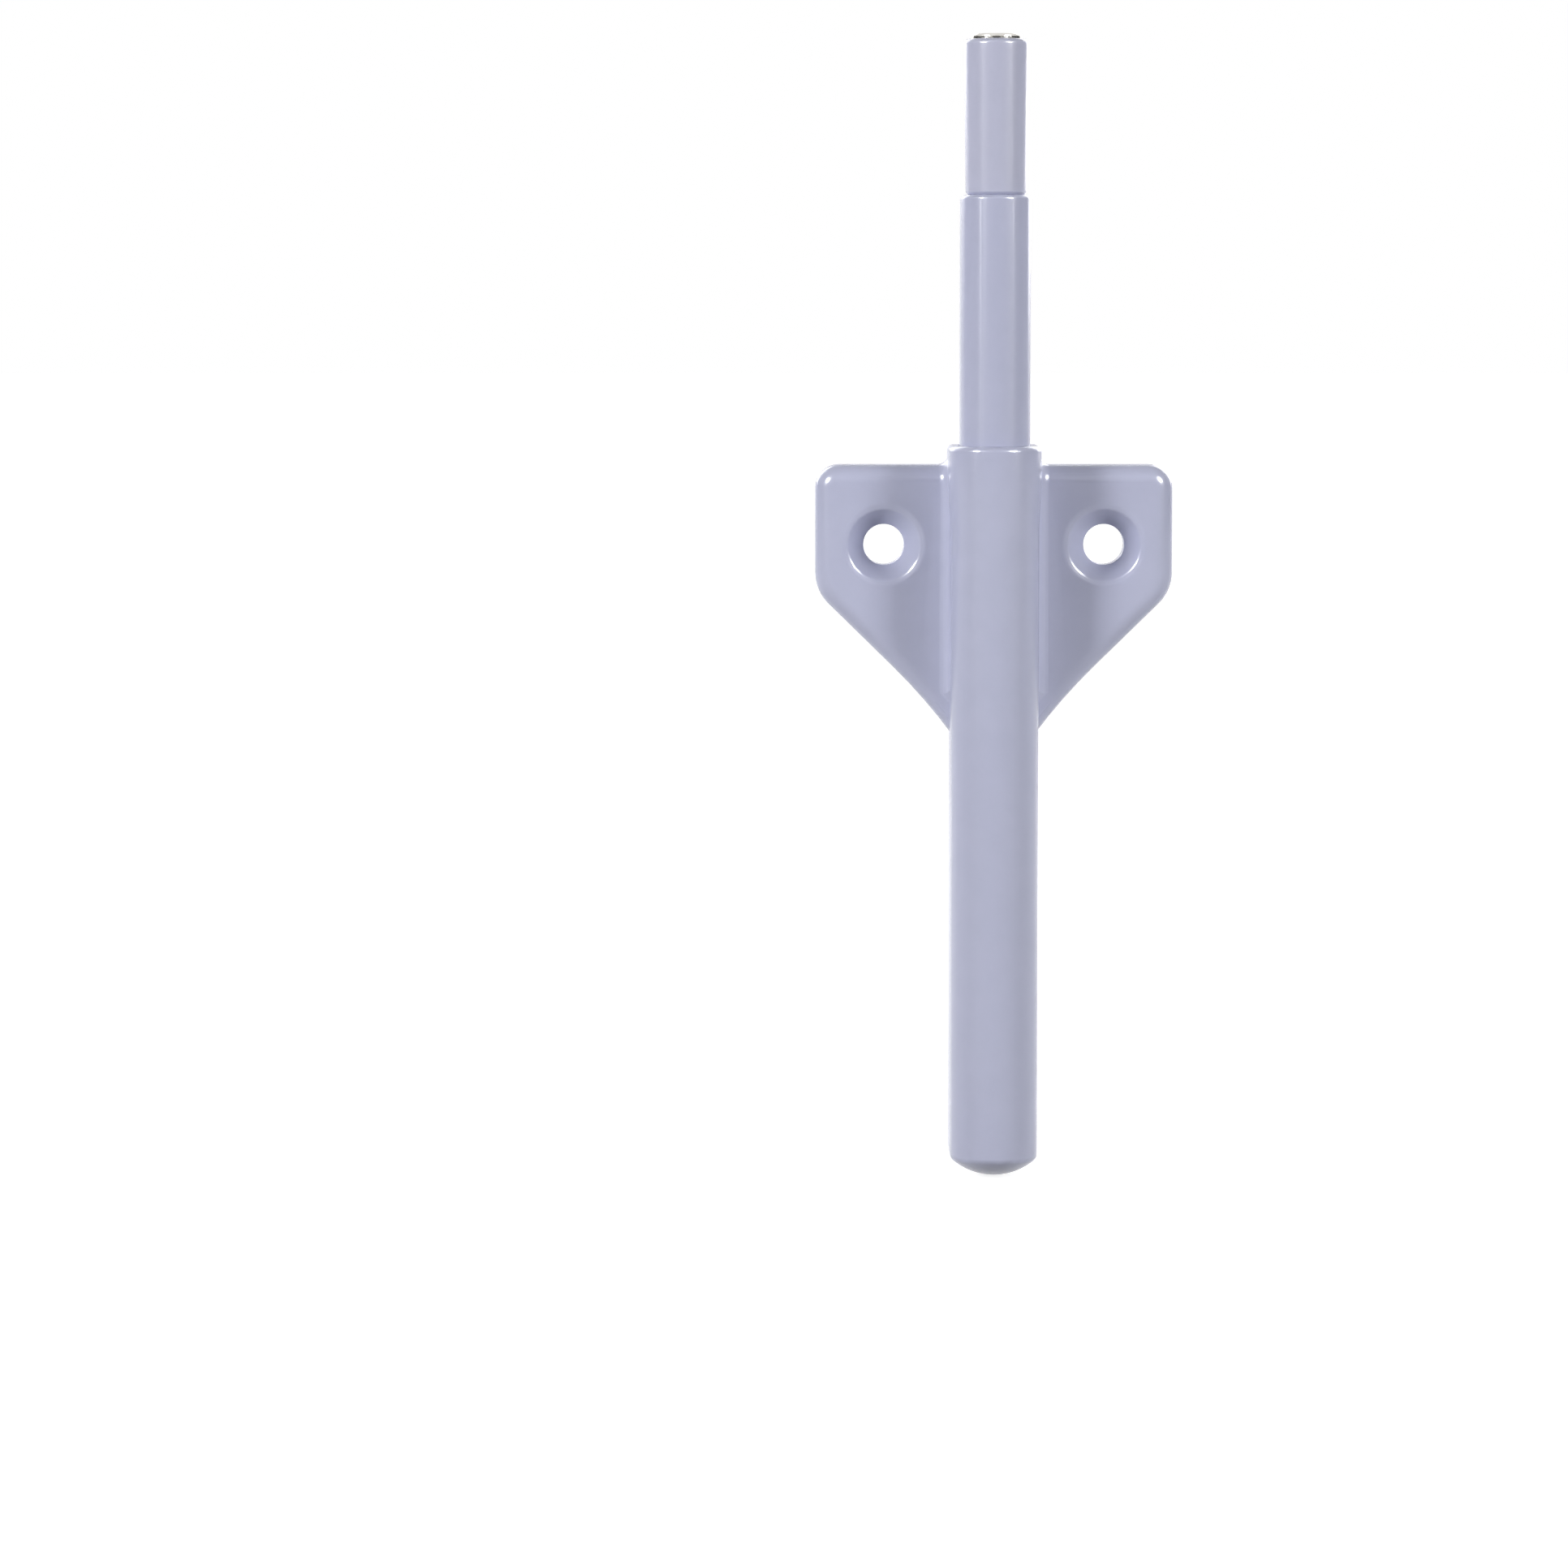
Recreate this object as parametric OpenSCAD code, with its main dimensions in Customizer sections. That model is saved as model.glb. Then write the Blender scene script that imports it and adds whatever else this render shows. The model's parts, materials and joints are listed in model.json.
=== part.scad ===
// Door damper with a latching plunger: a screw-on casing with two wings, a spring-loaded
// slider carrying a round head with a magnetic tip, and a swinging wire that holds the
// slider in when it is pushed and lets it out when it is pushed again.
// All lengths are millimetres. Z is the direction of travel, the front faces -Y and the
// mounting plane is y = 0. The origin lies midway between the two screw holes.
// The slider is drawn fully out, which is where it rests.

/* [Casing] */
// Height of the casing mouth above the screw holes
mouth_z = 11.5; // [8:0.1:16]
// Overall length of the casing
casing_length = 84.16; // [60:0.01:120]
// Distance from the mounting plane to the front of the casing
casing_depth = 12.45; // [9:0.05:20]
// Radius of the half-round casing front
casing_radius = 5.05; // [4:0.05:8]
// Radius of the slightly thicker collar round the mouth
collar_radius = 5.33; // [4:0.01:8]
// Height over which the collar grows out of the casing
collar_taper = 5.2; // [1:0.1:8]
// Rounding of the mouth edge
mouth_round = 0.7; // [0.1:0.05:1.5]
// Radius of the domed bottom end
end_radius = 7.4; // [6.2:0.1:20]

/* [Wings] */
// Half of the width over both wings
wing_half_width = 20.6; // [15:0.1:30]
// Height of the top edge of the wings
wing_top = 9.2; // [6:0.1:14]
// Distance from the mounting plane to the front of the wings
wing_depth = 4.8; // [3:0.1:8]
// Rounding of the front edges of the wings
wing_round = 2; // [0.5:0.1:3]
// Radius of the upper corners
upper_corner = 2.7; // [2.6:0.1:6]
// Radius of the lower corners
lower_corner = 5; // [2.6:0.1:8]
// Height of the centre of the lower corners
lower_corner_z = -3.26; // [-8:0.01:2]
// Angle of the sloping lower edge, from the vertical
slope_angle = 45.6; // [30:0.1:60]
// Where the sloping edge begins to curve, measured across from the middle
curve_start_x = 11.6; // [8:0.1:16]
// Radius of the hollow curve that leads into the casing
curve_radius = 65; // [20:1:200]
// Radius of the hollow fillet between casing and wings
fillet_radius = 1.6; // [0.5:0.1:3]

/* [Screw holes] */
// Distance between the two screw holes
hole_spacing = 25.4; // [16:0.1:40]
// Diameter of the screw holes
hole_diameter = 4.7; // [2:0.1:8]
// Diameter of the countersinks at the front
sink_diameter = 8.3; // [5:0.1:14]
// Diameter of the flat bevel round the countersinks
sink_bevel = 9.5; // [5:0.1:16]

/* [Back] */
// Depth of the channel behind the casing
channel_depth = 2.1; // [1:0.1:4]
// Width of the channel behind the casing
channel_width = 7.8; // [4:0.1:12]
// Depth of the pockets behind the wings
pocket_depth = 2.3; // [1:0.1:3.5]
// Thickness of the outer rim of the wings
rim = 1.15; // [0.6:0.05:2.4]
// Thickness of the ribs
rib = 1.2; // [0.6:0.05:2.4]
// Heights of the cross ribs
cross_ribs = [-18.2, -36.8, -57.8];
// Diameter of the bosses round the screw holes
boss_diameter = 7; // [5:0.1:12]
// Diameter of the raised pads round the bosses
pad_diameter = 10.9; // [8:0.1:16]
// Height of the raised pads
pad_height = 0.75; // [0.2:0.05:2]
// Lower and upper end of the slot across the mouth
mouth_slot = [9.2, 10.3];
// Lower and upper end of the opening that shows the spring
window = [-54.3, -47.9];
// Width of the opening that shows the spring
window_width = 4.3; // [1:0.1:7]
// Lower and upper end of the slot that holds the wire
wire_slot = [-71.6, -64.4];
// Width of the slot that holds the wire
wire_slot_width = 1.3; // [1:0.05:2]
// Left and right end of the notch in the end wall, seen from the front
end_notch = [-1.2, 2.4];
// Height of the lowest end of the channel floor
end_wall_z = -71.1; // [-72:0.1:-68]

/* [Slider] */
// Height of the top of the slider when it is fully out
slider_top = 40.1; // [30:0.1:50]
// Height of the bottom of the slider when it is fully out
slider_bottom = -23.5; // [-40:0.1:0]
// Radius of the half-round slider front
slider_radius = 4; // [3:0.05:7]
// Distance from the axis to the flat back of the slider
slider_flat = 4.2; // [3:0.05:7]
// Play between slider and casing on every side
slide_play = 0.1; // [0.05:0.01:0.3]
// Rounding of the top edge of the slider
slider_round = 0.5; // [0.1:0.05:1.5]
// Radius of the spring bore
spring_bore = 2.3; // [1.5:0.05:3.2]
// Distance of the spring axis in front of the slider axis
spring_offset = 0.85; // [0:0.05:2]
// Distance from the top of the slider down to the seat of the spring
seat_depth = 8.1; // [7.2:0.1:16]

/* [Latch track] */
// Width of the track in the back of the slider
track_width = 5.2; // [3:0.1:7]
// Height of the upper end of the track
track_top = 23.4; // [10:0.1:30]
// Depth of the track where only the wire shank runs
track_shallow = 1; // [0.6:0.05:2]
// Depth of the lanes where the wire tip runs
track_deep = 2.2; // [1:0.05:3]
// Height of the ledge that stops the tip and keeps the slider in
track_ledge = -22.25; // [-30:0.01:0]
// Width of the island between the lanes
island_width = 2.8; // [1:0.1:4]
// Heights of the fork tips, the notch, the shoulder and the point of the island
island_z = [22.2, 21.2, 14.4, 12.6];
// Length of the tooth at the upper end of the track
tooth = 0.6; // [0.2:0.05:1.5]
// Width of the tooth at the upper end of the track
tooth_width = 1.4; // [0.6:0.1:3]
// Width of each fork tip of the island
fork_tip = 0.45; // [0.2:0.05:1]
// Lower and upper end of the shallow pocket in the island
pocket_z = [15.25, 18.95];
// Width of the shallow pocket in the island
pocket_width = 1.3; // [0.6:0.05:2]

/* [Head] */
// Height of the plastic rim of the head
head_top = 57.8; // [45:0.1:70]
// Radius of the head at the slider
head_radius_low = 3.48; // [2.5:0.01:6]
// Radius of the head at the tip
head_radius_high = 3.69; // [2.5:0.01:6]
// Rounding of the top edge of the head
head_round = 0.6; // [0.1:0.05:1.5]
// Radius of the stem that plugs into the slider
stem_radius = 2.5; // [1.5:0.05:3.4]
// Length of the stem
stem_length = 5.5; // [2:0.1:7]
// Size of the bevel round the foot of the head
head_bevel = 0.3; // [0.1:0.05:0.8]

/* [Magnetic tip] */
// Radius of the magnet
magnet_radius = 2.95; // [2:0.05:3]
// Length of the magnet inside the head
magnet_depth = 4.5; // [2:0.1:10]
// Height of the magnet above the rim of the head
magnet_proud = 0.55; // [0.3:0.05:1.5]
// Rounding of the edge of the magnet
magnet_round = 0.2; // [0.05:0.05:0.3]

/* [Spring] */
// Outer radius of the spring
spring_radius = 2.2; // [1:0.05:3]
// Thickness of the spring wire
spring_wire = 0.5; // [0.3:0.05:0.6]
// Number of turns
spring_turns = 85; // [10:1:90]
// Height of the post inside the lower end of the spring
post_height = 3; // [0:0.5:8]

/* [Latch wire] */
// Thickness of the latch wire
wire = 0.85; // [0.5:0.05:1]
// Distance of the wire slot from the middle, seen from the front
wire_slot_x = 1.3; // [0:0.1:2.5]
// Angle of the wire to either side of its middle position
wire_swing = 2.45; // [0:0.05:4]
// Height of the wire tip
wire_tip_z = -21.7; // [-30:0.1:0]
// Length of the hook that holds the wire in the tail
wire_hook = 2.2; // [1:0.1:2.6]
// Lower and upper end of the bend that leads the wire out of its slot
wire_step = [-67.4, -65.4];
// Lower and upper end of the bend that leads the wire to the middle
wire_jog = [-49.5, -43];

/* [Display] */
// Facets of a full turn in the preview
smooth = 96; // [24:8:180]
// Sub-part to show

/* [Hidden] */
$fn = smooth;
PLASTIC = [0.71, 0.72, 0.80];
PLASTIC_GREY = [0.70, 0.71, 0.76];
STEEL = [0.76, 0.76, 0.78];
NICKEL = [0.80, 0.79, 0.76];
// margin by which cutting bodies reach past the surface they open
OVER = 1;
// overlap between pieces that are joined to one body
LAP = 0.3;
axis_y = casing_radius - casing_depth;
casing_bottom = mouth_z - casing_length;
// height of the dome at the bottom end
end_rise = end_radius - sqrt(pow(end_radius, 2) - pow(casing_radius, 2));
collar_foot = wing_top - wing_round - collar_taper;
bore_radius = slider_radius + slide_play;
slider_back = axis_y + slider_flat;
bore_back = slider_back + slide_play;
END_WALL = 1.86;
bore_bottom = casing_bottom + END_WALL;
spring_y = axis_y - spring_offset;
spring_seat = slider_top - seat_depth;
hole_radius = hole_diameter / 2;
hole_x = hole_spacing / 2;
// direction that points straight out of the sloping edge
slope_turn = -slope_angle;
slope_out = [cos(slope_turn), sin(slope_turn)];
upper_centre = [wing_half_width - upper_corner, wing_top - upper_corner];
lower_centre = [wing_half_width - lower_corner, lower_corner_z];
slope_start = lower_centre + lower_corner * slope_out;
slope_length = (slope_start[0] - curve_start_x) / cos(90 - slope_angle);
slope_end = slope_start + slope_length * [sin(slope_turn), -cos(slope_turn)];
curve_centre = slope_end + curve_radius * slope_out;
// angle over which the hollow curve runs, long enough to end inside the casing
CURVE_SWEEP = 11.4;
CURVE_STEPS = 5;
CORNER_STEPS = 8;
ROUND_STEPS = 6;
// the wings reach into the casing up to here
WING_INNER_X = 3.6;
// height that lies below all of the wings
WING_FOOT = -24;
// the hollow of the fillet ends this far below the surfaces it joins, so it crosses them
FILLET_DIP = 0.03;
// the fillet rises out of the wing between these distances from its lower edge
FADE_START = 0.9;
FADE_REACH = 2.6;
SMALL_RIM = 0.65;
SMALL_POCKET_DEPTH = 3.4;
MARK_DEPTH = 0.15;
MARK_RADIUS = 1.65;
wire_radius = wire / 2;
wire_back_y = (bore_back - channel_depth) / 2;
wire_y = slider_back - track_shallow / 2 + 0.05;
wire_pivot_z = (wire_slot[0] + wire_slot[1]) / 2;
wire_tip_y = slider_back - track_deep + 0.25;
spring_mid = spring_radius - spring_wire / 2;
// the bends are rounded by balls this much thicker than the wire
BEND_SWELL = 1.03;

// Everything drawn here is seen from the front: x across, y up, thickness towards the viewer.
module plan() {
    rotate([90, 0, 0]) children();
}

module both_sides() {
    children();
    mirror([1, 0, 0]) children();
}

// Half-round front with a flat back, as a flat section seen along the travel.
module d_section(radius, back) {
    translate([0, axis_y]) circle(r = radius);
    translate([-radius, axis_y]) square([2 * radius, back - axis_y]);
}

// Rectangle whose upper right corner is rounded; the right edge lies at x = reach.
module rounded_edge_section(reach, low, high, round_radius) {
    difference() {
        translate([0, low]) square([reach, high - low]);
        translate([reach - round_radius, high - round_radius])
            difference() {
                square([round_radius + OVER, round_radius + OVER]);
                circle(r = round_radius);
            }
    }
}

// Casing

// Half section of the collar round the mouth, with a soft mouth edge and a tapering foot.
module collar_section() {
    full = collar_foot + collar_taper;
    polygon([[0, collar_foot], [casing_radius, collar_foot], [collar_radius, full],
             [collar_radius, full + LAP], [0, full + LAP]]);
    rounded_edge_section(collar_radius, full, mouth_z, mouth_round);
}

// Half section of the domed bottom end.
module end_section() {
    intersection() {
        translate([0, casing_bottom + end_radius]) circle(r = end_radius);
        translate([0, casing_bottom]) square([casing_radius, end_rise + LAP]);
    }
}

// Turned half in front of the axis, with straight walls running back to the mounting plane.
module half_turned() {
    translate([0, axis_y, 0])
        rotate([0, 0, 180])
            rotate_extrude(angle = 180) children();
    plan()
        linear_extrude(-axis_y)
            both_sides() children();
}

module tube() {
    translate([0, 0, casing_bottom + end_rise])
        linear_extrude(collar_foot + LAP - casing_bottom - end_rise)
            d_section(casing_radius, 0);
}

// Point number i on the hollow curve, moved inwards by "inset".
function curve_point(i, inset) =
    let (turn = 180 + slope_turn + CURVE_SWEEP * i / CURVE_STEPS)
    curve_centre + (curve_radius + inset) * [cos(turn), sin(turn)];

// Points of a rounded corner, from angle "from" down to angle "to".
function corner_points(centre, radius, from, to) =
    [for (i = [0:CORNER_STEPS])
        let (turn = from + (to - from) * i / CORNER_STEPS)
        centre + radius * [cos(turn), sin(turn)]];

// Points round the right wing, drawn smaller by "inset" all round.
function wing_points(inset) =
    concat([[WING_INNER_X, wing_top - inset]],
           corner_points(upper_centre, upper_corner - inset, 90, 0),
           corner_points(lower_centre, lower_corner - inset, 0, slope_turn),
           [for (i = [0:CURVE_STEPS]) curve_point(i, inset)]);

module wing_outline(inset) {
    polygon(wing_points(inset));
}

// Solid skinned over clockwise loops of points, one above the other, each [points, height].
module skinned(loops) {
    count = len(loops[0][0]);
    levels = len(loops);
    points = [for (loop = loops, p = loop[0]) [p[0], p[1], loop[1]]];
    sides = [for (k = [0:levels - 2], i = [0:count - 1])
        let (next = (i + 1) % count)
        [k * count + i, k * count + next, (k + 1) * count + next, (k + 1) * count + i]];
    low = [for (i = [0:count - 1]) (count - i) % count];
    high = [for (i = [0:count - 1]) (levels - 1) * count + i];
    polyhedron(points, concat(sides, [low], [high]), convexity = 6);
}

// The wing's front edge is rounded all round: its outline shrinks as it nears the front.
module wing() {
    shoulder = wing_depth - wing_round;
    plan()
        skinned(concat([[wing_points(0), 0]],
                       [for (i = [0:ROUND_STEPS])
                           let (turn = 90 * i / ROUND_STEPS)
                           [wing_points(wing_round * (1 - cos(turn))),
                            shoulder + wing_round * sin(turn)]]));
}

// Section of the hollow fillet: the casing wall lies to the left, the wing surface at y = 0.
module fillet_section() {
    difference() {
        translate([casing_radius - LAP, -LAP])
            square([fillet_radius + LAP, fillet_radius + LAP]);
        translate([casing_radius + fillet_radius - FILLET_DIP, fillet_radius - FILLET_DIP])
            circle(r = fillet_radius);
    }
}

// Outline beside the casing, whose lower edge is moved inwards by "inset".
function fade_points(inset) =
    concat([[WING_INNER_X, wing_top], [curve_start_x, wing_top]],
           [for (i = [0:CURVE_STEPS]) curve_point(i, inset)]);

// Space in which the fillet shows: it rises slowly from the wing's lower edge.
module fillet_space() {
    plan()
        skinned(concat([[fade_points(FADE_START), wing_depth - 2 * LAP]],
                       [for (i = [0:ROUND_STEPS])
                           let (turn = 90 * i / ROUND_STEPS)
                           [fade_points(FADE_START + FADE_REACH * sin(turn)),
                            wing_depth - LAP + 2 * fillet_radius * (1 - cos(turn))]]));
}

// The fillet runs up the front of the wing, over its rounded top edge and back to the wall.
module wing_fillet() {
    edge_y = wing_round - wing_depth;
    edge_z = wing_top - wing_round;
    foot_z = WING_FOOT;
    intersection() {
        translate([0, -wing_depth, foot_z])
            mirror([0, 1, 0])
                linear_extrude(edge_z - foot_z) fillet_section();
        fillet_space();
    }
    translate([0, edge_y, edge_z])
        rotate([0, 90, 0])
            rotate([0, 0, 180])
                rotate_extrude(angle = 90)
                    translate([wing_round, 0])
                        rotate(90)
                            mirror([0, 1])
                                fillet_section();
    plan()
        translate([0, wing_top, 0])
            linear_extrude(-edge_y) fillet_section();
}

// Screw hole with its countersink, cut from the front.
module screw_hole() {
    bevel_depth = 0.2;
    cone_depth = (sink_diameter - hole_diameter) / 2;
    translate([hole_x, 0, 0])
        plan() {
            translate([0, 0, -OVER]) cylinder(r = hole_radius, h = wing_depth + 2 * OVER);
            translate([0, 0, wing_depth - bevel_depth - cone_depth])
                cylinder(r1 = hole_radius, r2 = sink_diameter / 2, h = cone_depth);
            translate([0, 0, wing_depth - bevel_depth])
                cylinder(r1 = sink_diameter / 2, r2 = sink_bevel / 2, h = bevel_depth);
            translate([0, 0, wing_depth]) cylinder(r = sink_bevel / 2, h = OVER);
        }
}

// Ribs that tie each boss to the top rim, the side rim and the casing.
module boss_ribs() {
    translate([hole_x - rib / 2, 0]) square([rib, wing_top]);
    translate([casing_radius, -rib / 2]) square([wing_half_width - casing_radius, rib]);
}

// Flat shape of the pockets behind the right wing, leaving a disc of the given radius.
module pocket_outline(disc_radius) {
    difference() {
        intersection() {
            wing_outline(rim);
            translate([casing_radius, cross_ribs[0] + rib / 2])
                square([wing_half_width, wing_top - cross_ribs[0]]);
        }
        translate([hole_x, 0]) circle(r = disc_radius);
        boss_ribs();
    }
}

module wing_pockets() {
    plan() {
        translate([0, 0, -OVER])
            linear_extrude(pocket_depth + OVER) pocket_outline(pad_diameter / 2);
        translate([0, 0, -OVER])
            linear_extrude(pocket_depth - pad_height + OVER) pocket_outline(boss_diameter / 2);
        translate([0, 0, -OVER])
            linear_extrude(SMALL_POCKET_DEPTH + OVER)
                intersection() {
                    wing_outline(SMALL_RIM);
                    translate([casing_radius, WING_FOOT])
                        square([casing_radius, cross_ribs[0] - rib / 2 - WING_FOOT]);
                }
    }
}

// One stretch of the channel behind the casing, from "low" to "high".
module channel_bay(low, high) {
    translate([-channel_width / 2, -channel_depth, low])
        cube([channel_width, channel_depth + OVER, high - low]);
}

// Round mark left by a pin of the mould on the channel floor.
module pin_mark(x, z) {
    plan()
        translate([x, z, 0])
            cylinder(r = MARK_RADIUS, h = channel_depth + MARK_DEPTH);
}

module channel() {
    channel_bay(cross_ribs[0] + rib / 2, mouth_slot[0] - rib);
    channel_bay(cross_ribs[1] + rib / 2, cross_ribs[0] - rib / 2);
    channel_bay(cross_ribs[2] + rib / 2, cross_ribs[1] - rib / 2);
    channel_bay(end_wall_z, cross_ribs[2] - rib / 2);
    pin_mark(-1.4, 4.6);
    pin_mark(-0.6, -14.2);
    pin_mark(1.6, -34);
    pin_mark(0, -61.4);
}

// Openings through the back wall: mouth slot, spring window, wire slot and end notch.
module back_openings() {
    reach = -bore_back + OVER;
    translate([-bore_radius, -reach, mouth_slot[0]])
        cube([2 * bore_radius, reach + OVER, mouth_slot[1] - mouth_slot[0]]);
    translate([-window_width / 2, -reach, window[0]])
        cube([window_width, reach, window[1] - window[0]]);
    translate([wire_slot_x - wire_slot_width / 2, bore_back - LAP / 4, wire_slot[0]])
        cube([wire_slot_width, OVER - bore_back, wire_slot[1] - wire_slot[0]]);
    translate([end_notch[0], -channel_depth, casing_bottom - OVER])
        cube([end_notch[1] - end_notch[0], channel_depth + OVER, end_wall_z - casing_bottom + 2 * OVER]);
}

module bore() {
    translate([0, 0, bore_bottom])
        linear_extrude(mouth_z + OVER - bore_bottom)
            d_section(bore_radius, bore_back);
}

module casing() {
    color(PLASTIC) {
        difference() {
            union() {
                tube();
                half_turned() collar_section();
                half_turned() end_section();
                both_sides() {
                    wing();
                    wing_fillet();
                }
            }
            bore();
            both_sides() {
                screw_hole();
                wing_pockets();
            }
            channel();
            back_openings();
        }
        translate([0, spring_y, bore_bottom - LAP])
            cylinder(r = spring_mid - spring_wire, h = post_height + LAP);
    }
}

// Slider

module slider_blank() {
    translate([0, 0, slider_bottom])
        linear_extrude(slider_top - slider_round - slider_bottom)
            d_section(slider_radius, slider_back);
    translate([0, axis_y, 0])
        rotate([0, 0, 180])
            rotate_extrude(angle = 180)
                rounded_edge_section(slider_radius, slider_top - 2 * slider_round, slider_top,
                                     slider_round);
    translate([0, slider_back, 0])
        plan()
            linear_extrude(slider_flat)
                both_sides()
                    rounded_edge_section(slider_radius, slider_top - 2 * slider_round, slider_top,
                                         slider_round);
}

// Island of the latch track: a fork on top that catches the tip, and a slanting point below.
module island() {
    half = island_width / 2;
    translate([0, slider_back - track_shallow, 0])
        plan()
            linear_extrude(track_deep - track_shallow + LAP)
                polygon([[-half, island_z[2]], [-half, island_z[0]],
                         [-half + fork_tip, island_z[0]], [0, island_z[1]],
                         [half - fork_tip, island_z[0]], [half, island_z[0]],
                         [half, island_z[2]], [-half + fork_tip, island_z[3]]]);
}

// Outline of the track down to "low", with the tooth at its upper end.
module track_outline(low) {
    half = track_width / 2;
    polygon([[-half, low], [half, low], [half, track_top], [tooth_width / 2, track_top],
             [0, track_top - tooth], [-tooth_width / 2, track_top], [-half, track_top]]);
}

// Shallow run, open at the tail, and deep lanes that the ledge closes.
module latch_track() {
    translate([0, slider_back + OVER, 0])
        plan()
            linear_extrude(track_shallow + OVER) track_outline(slider_bottom - OVER);
    translate([0, slider_back, 0])
        plan()
            linear_extrude(track_deep) track_outline(track_ledge);
}

// Shallow oval pocket in the face of the island.
module island_pocket() {
    round_end = pocket_width / 2;
    pocket_floor = 0.35;
    translate([0, slider_back - track_shallow + OVER, 0])
        plan()
            linear_extrude(OVER + pocket_floor) {
                translate([0, pocket_z[1] - round_end]) circle(r = round_end);
                translate([0, pocket_z[0] + round_end]) circle(r = round_end);
                translate([-round_end, pocket_z[0] + round_end])
                    square([pocket_width, pocket_z[1] - pocket_z[0] - pocket_width]);
            }
}

module slider() {
    color(PLASTIC)
        difference() {
            union() {
                difference() {
                    slider_blank();
                    latch_track();
                }
                island();
            }
            island_pocket();
            translate([0, spring_y, slider_bottom - OVER])
                cylinder(r = spring_bore, h = spring_seat - slider_bottom + OVER);
            translate([0, axis_y, slider_top - stem_length])
                cylinder(r = stem_radius, h = stem_length + OVER);
        }
}

// Head and magnetic tip

module head() {
    tip_low = head_top - 2 * head_round;
    color(PLASTIC_GREY)
        translate([0, axis_y, 0])
            difference() {
                union() {
                    translate([0, 0, slider_top])
                        cylinder(r1 = head_radius_low - head_bevel, r2 = head_radius_low,
                                 h = head_bevel);
                    translate([0, 0, slider_top + head_bevel])
                        cylinder(r1 = head_radius_low, r2 = head_radius_high,
                                 h = tip_low - slider_top - head_bevel);
                    rotate_extrude()
                        rounded_edge_section(head_radius_high, tip_low, head_top, head_round);
                    translate([0, 0, slider_top - stem_length])
                        cylinder(r = stem_radius, h = stem_length + LAP);
                }
                translate([0, 0, head_top - magnet_depth])
                    cylinder(r = magnet_radius, h = magnet_depth + OVER);
            }
}

// Round magnet that stands a little out of the head.
module magnet() {
    color(NICKEL)
        translate([0, axis_y, 0])
            rotate_extrude()
                rounded_edge_section(magnet_radius, head_top - magnet_depth,
                                     head_top + magnet_proud, magnet_round);
}

// Return spring

// Height along the spring at turn t: closed end coils, even pitch between them.
function coil_height(t, turns, low, high, pitch) =
    let (dead = 1.5, live = (high - low - 2 * dead * pitch) / (turns - 2 * dead))
    t <= dead ? low + t * pitch
    : t >= turns - dead ? high - (turns - t) * pitch
    : low + dead * pitch + (t - dead) * live;

module coil(turns, radius, thickness, low, high) {
    steps = 10;
    sides = 4;
    count = turns * steps;
    points = [for (i = [0:count], k = [0:sides - 1])
        let (turn = 360 * i / steps, side = 360 * k / sides + 90,
             reach = radius + thickness / 2 * cos(side))
        [reach * cos(turn), reach * sin(turn),
         coil_height(i / steps, turns, low, high, thickness * 1.04) + thickness / 2 * sin(side)]];
    skin = [for (i = [0:count - 1], k = [0:sides - 1])
        let (next = (k + 1) % sides)
        [i * sides + k, i * sides + next, (i + 1) * sides + next, (i + 1) * sides + k]];
    first = [for (k = [0:sides - 1]) sides - 1 - k];
    last = [for (k = [0:sides - 1]) count * sides + k];
    polyhedron(points, concat(skin, [first], [last]), convexity = 10);
}

module return_spring() {
    color(STEEL)
        translate([0, spring_y, 0])
            coil(spring_turns, spring_mid, spring_wire, bore_bottom + spring_wire / 2,
                 spring_seat - spring_wire / 2);
}

// Latch wire

// Straight piece of wire from a to b, with a ball at b to round the next bend.
module rod(a, b, ball) {
    run = b - a;
    length = norm(run);
    translate(a)
        rotate([0, acos(run[2] / length), atan2(run[1], run[0])])
            cylinder(r = wire_radius, h = length);
    if (ball)
        translate(b) sphere(r = wire_radius * BEND_SWELL);
}

module bent_wire(points) {
    last = len(points) - 1;
    for (i = [1:last])
        rod(points[i - 1], points[i], i < last);
}

module latch_wire() {
    foot_z = bore_bottom + wire_radius * BEND_SWELL;
    color(STEEL)
        translate([wire_slot_x, 0, wire_pivot_z])
            rotate([0, wire_swing, 0])
                translate([-wire_slot_x, 0, -wire_pivot_z])
                    bent_wire([[wire_slot_x, wire_back_y - wire_hook, foot_z],
                               [wire_slot_x, wire_back_y, foot_z],
                               [wire_slot_x, wire_back_y, wire_step[0]],
                               [wire_slot_x, wire_y, wire_step[1]],
                               [wire_slot_x, wire_y, wire_jog[0]],
                               [0, wire_y, wire_jog[1]],
                               [0, wire_y, wire_tip_z],
                               [0, wire_tip_y, wire_tip_z]]);
}

casing();
slider();
head();
magnet();
return_spring();
latch_wire();
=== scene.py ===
# %% [markdown]
# # A winged door damper
#
# The object is a small push latch for a cupboard door: a moulded casing with two screw wings, a
# slider that springs out of it, a round head with a magnet in its tip, a coil spring and a bent
# steel wire. The solids come from the CAD model, in metres and already in place. They could be
# shown as they are, but then every edge is as sharp as a knife and every surface one even
# colour. This script gives them the looks of the real thing: softened mould edges, fine plastic
# grain, plated metal, a round coiled wire and smooth bends.

# %% Load the solids
import json
import math

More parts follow.
